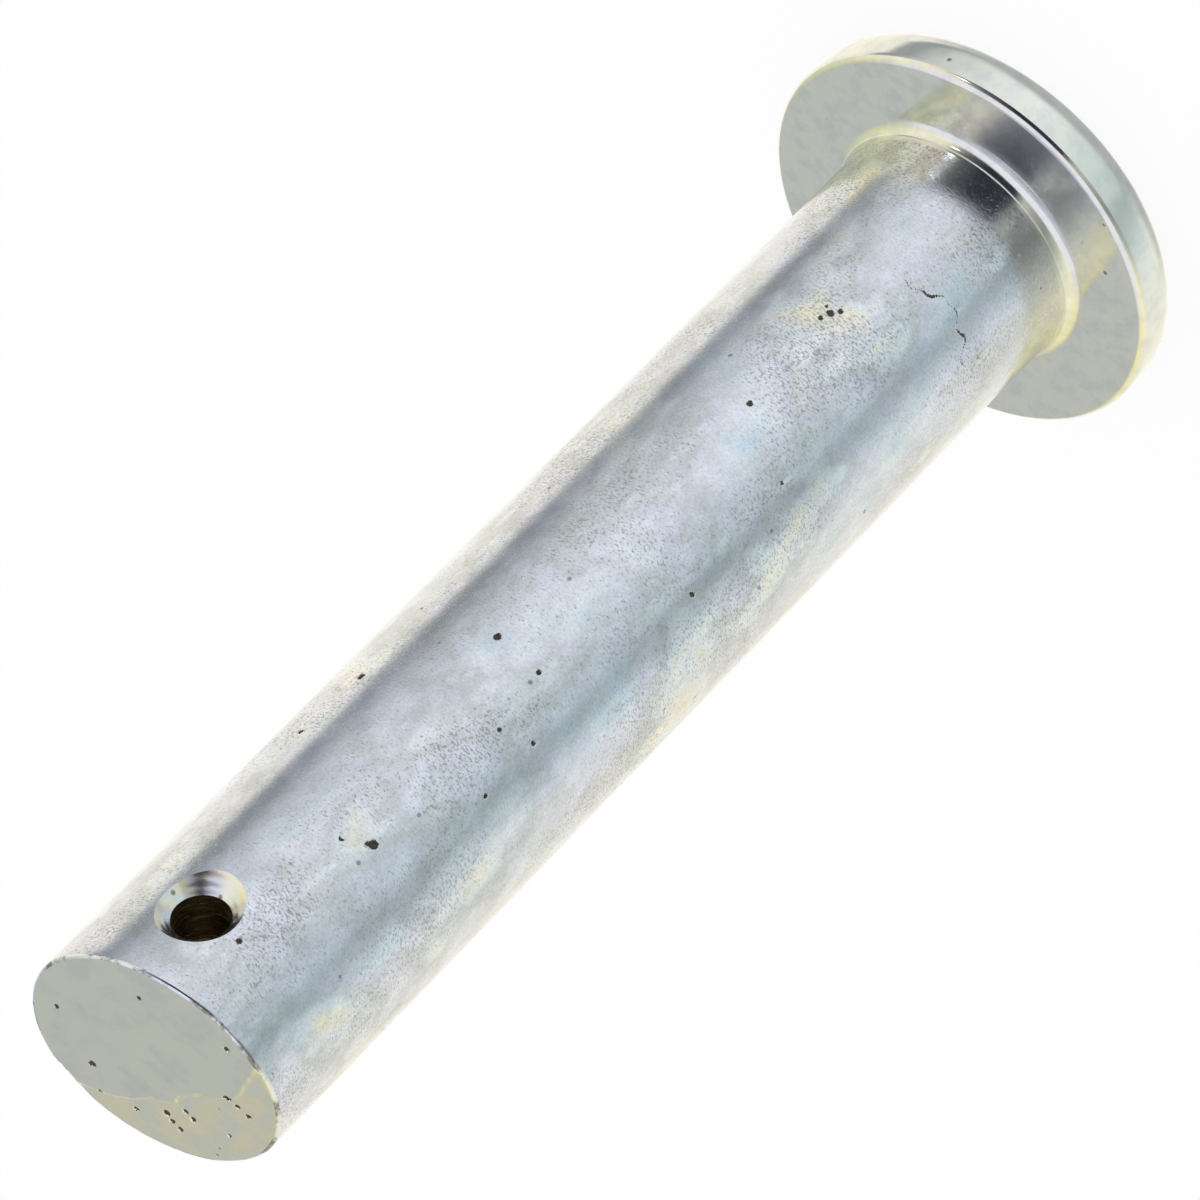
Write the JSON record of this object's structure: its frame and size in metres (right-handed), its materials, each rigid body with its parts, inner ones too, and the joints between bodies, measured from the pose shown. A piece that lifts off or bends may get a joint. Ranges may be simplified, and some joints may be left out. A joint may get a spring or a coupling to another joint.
{
  "type": "clevis pin",
  "caption": "Plain round pin with a flat disc head and a countersunk cross hole for a split pin near its sheared tail, in zinc plated steel.",
  "frame": {"origin": "centre of the head's outer face, which the pin stands on", "axes": "+Z along the shank from the head to the sheared tail; the cross hole runs along Y"},
  "size_m": [0.02, 0.02, 0.0623],
  "materials": {
    "zinc_plated_steel": "zinc plated and clear blue passivated, satin with mottling and fine pits"
  },
  "bodies": {
    "root": {"clevis_pin": "zinc_plated_steel"}
  },
  "joints": []
}
